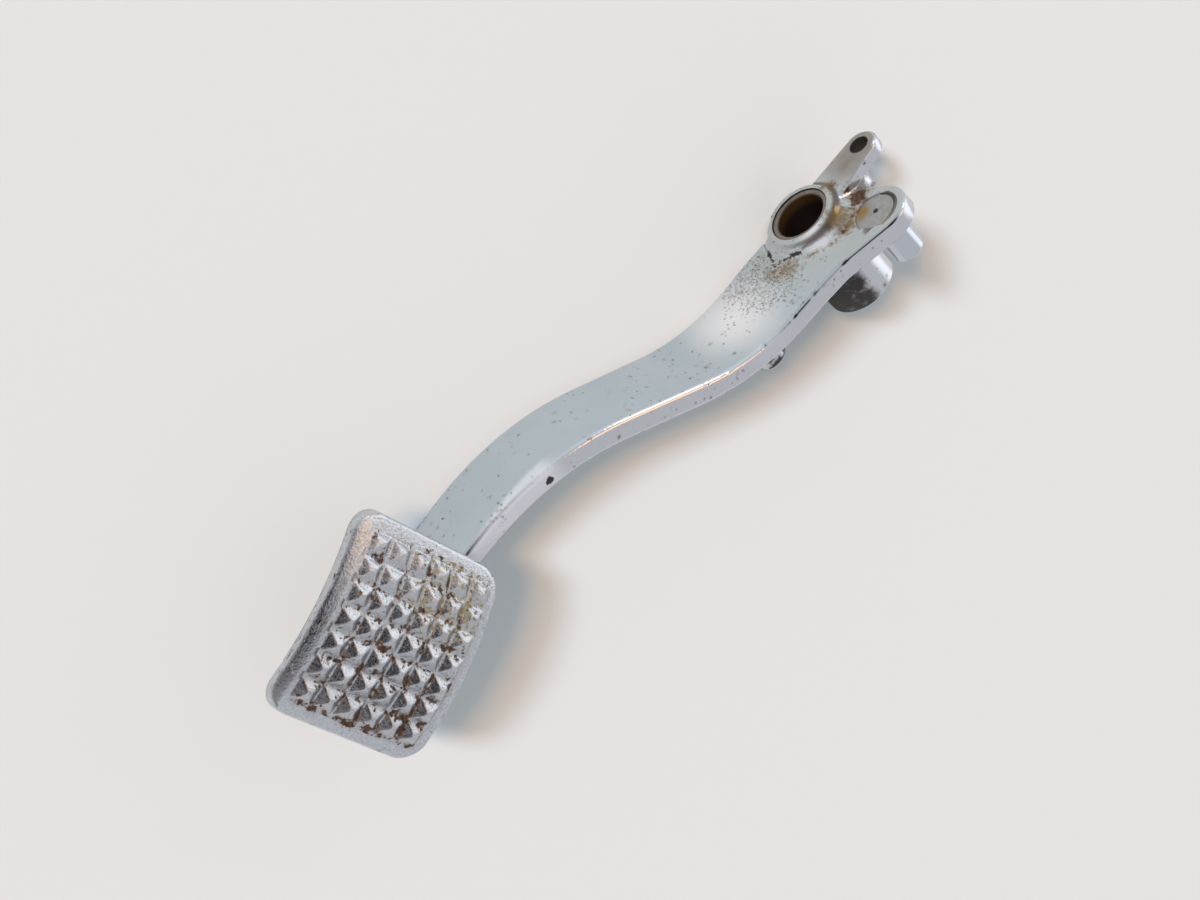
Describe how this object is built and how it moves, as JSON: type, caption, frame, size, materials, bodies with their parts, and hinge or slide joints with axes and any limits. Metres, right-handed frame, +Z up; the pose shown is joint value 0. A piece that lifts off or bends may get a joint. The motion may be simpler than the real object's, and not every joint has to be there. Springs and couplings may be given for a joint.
{
  "type": "rear brake pedal",
  "caption": "Plated steel motorbike rear brake pedal: cranked flat arm with a pyramid-studded foot pad, a bushed pivot boss, a rod pin lug, a spring ear and a stop pin.",
  "frame": {"origin": "middle of the pivot bore, on its axis", "axes": "+X forward along the arm to the pad, +Y inward along the pivot axis to the machine, +Z up, out of the tread"},
  "size_m": [0.2281, 0.1122, 0.0418],
  "materials": {
    "worn_chrome": "old chrome plate with rust pits and brown stains",
    "bush_steel": "plain steel bush, browned by old grease",
    "pin_steel": "turned steel, dull on the head and bright on the stub",
    "stop_steel": "chrome plate, worn on the end"
  },
  "bodies": {
    "root": {"pedal_forging": "worn_chrome", "pivot_bush": "bush_steel", "rod_pin": "pin_steel", "stop_pin": "stop_steel"}
  },
  "joints": []
}
